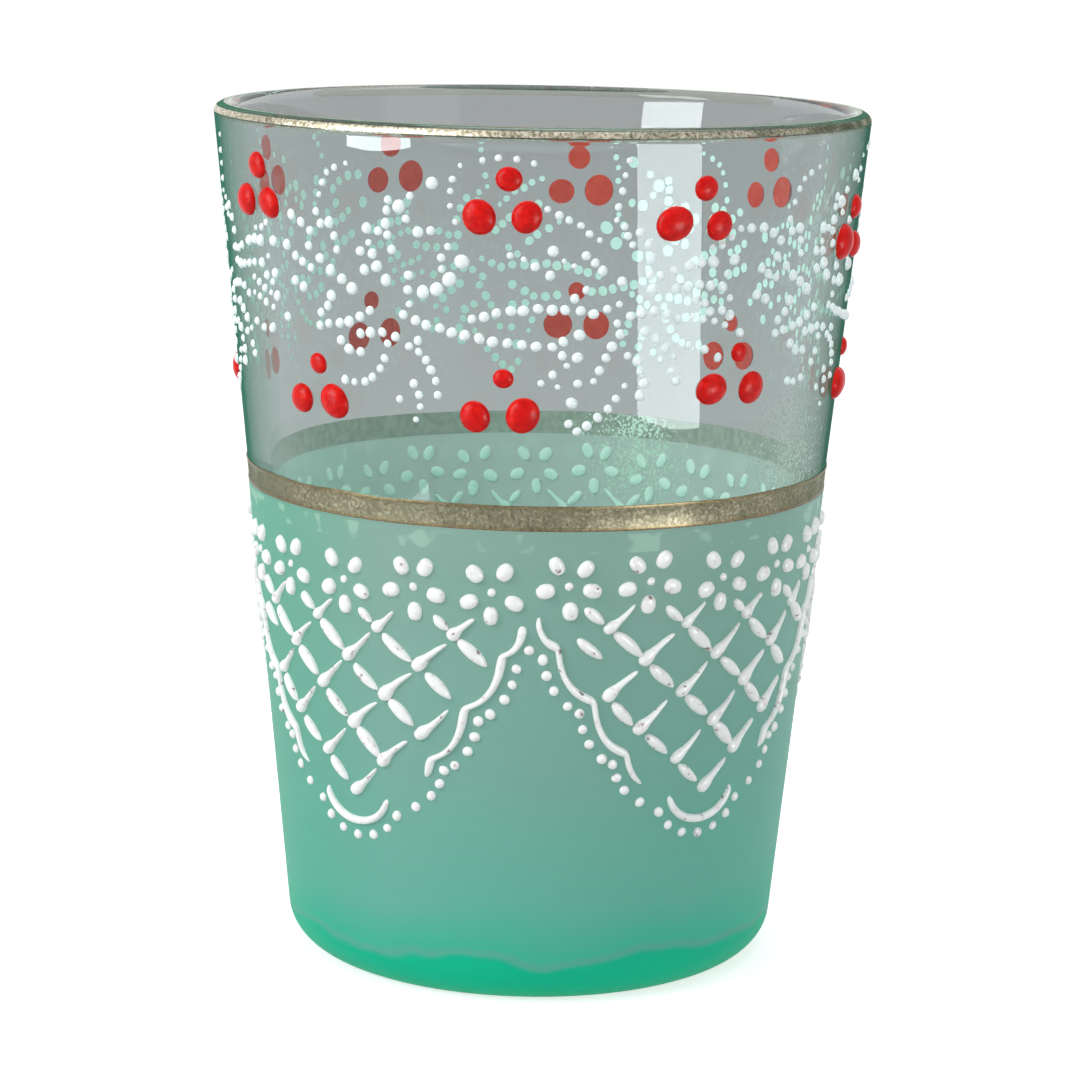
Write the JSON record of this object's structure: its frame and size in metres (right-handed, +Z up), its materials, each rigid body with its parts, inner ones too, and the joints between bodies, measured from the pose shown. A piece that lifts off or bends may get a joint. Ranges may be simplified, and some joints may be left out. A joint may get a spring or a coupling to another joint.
{
  "type": "tea glass",
  "caption": "Tapered Moroccan tea glass with a green frosted lower half, gold bands and raised enamel berries, vines, blossoms and trellis; holds hot tea.",
  "frame": {"origin": "centre of the flat foot, on the surface that the glass stands on", "axes": "+Z up the glass along its axis; -Y is the side seen in the picture; +X to its right"},
  "size_m": [0.0649, 0.0651, 0.0851],
  "materials": {
    "clear_glass": "clear soda-lime glass with a faint green edge",
    "green_frosted_coat": "translucent green frosted lacquer, satin",
    "gold_lustre": "fired gold lustre, thin and a little worn",
    "red_enamel": "glossy raised red enamel",
    "pale_enamel": "glossy bluish-white raised enamel",
    "white_enamel": "glossy off-white raised enamel"
  },
  "bodies": {
    "root": {"glass_tumbler": "clear_glass", "green_coat": "green_frosted_coat", "gold_lip_band": "gold_lustre", "gold_waist_band": "gold_lustre", "upper_berries": "red_enamel", "lower_berries": "red_enamel", "vine_dots": "pale_enamel", "leaf_dots": "pale_enamel", "spray_dots": "pale_enamel", "blossom_petals": "white_enamel", "blossom_centres": "white_enamel", "trellis_strokes": "white_enamel", "trellis_drops": "white_enamel", "scallop_line": "white_enamel", "scallop_pearls": "white_enamel"}
  },
  "joints": []
}
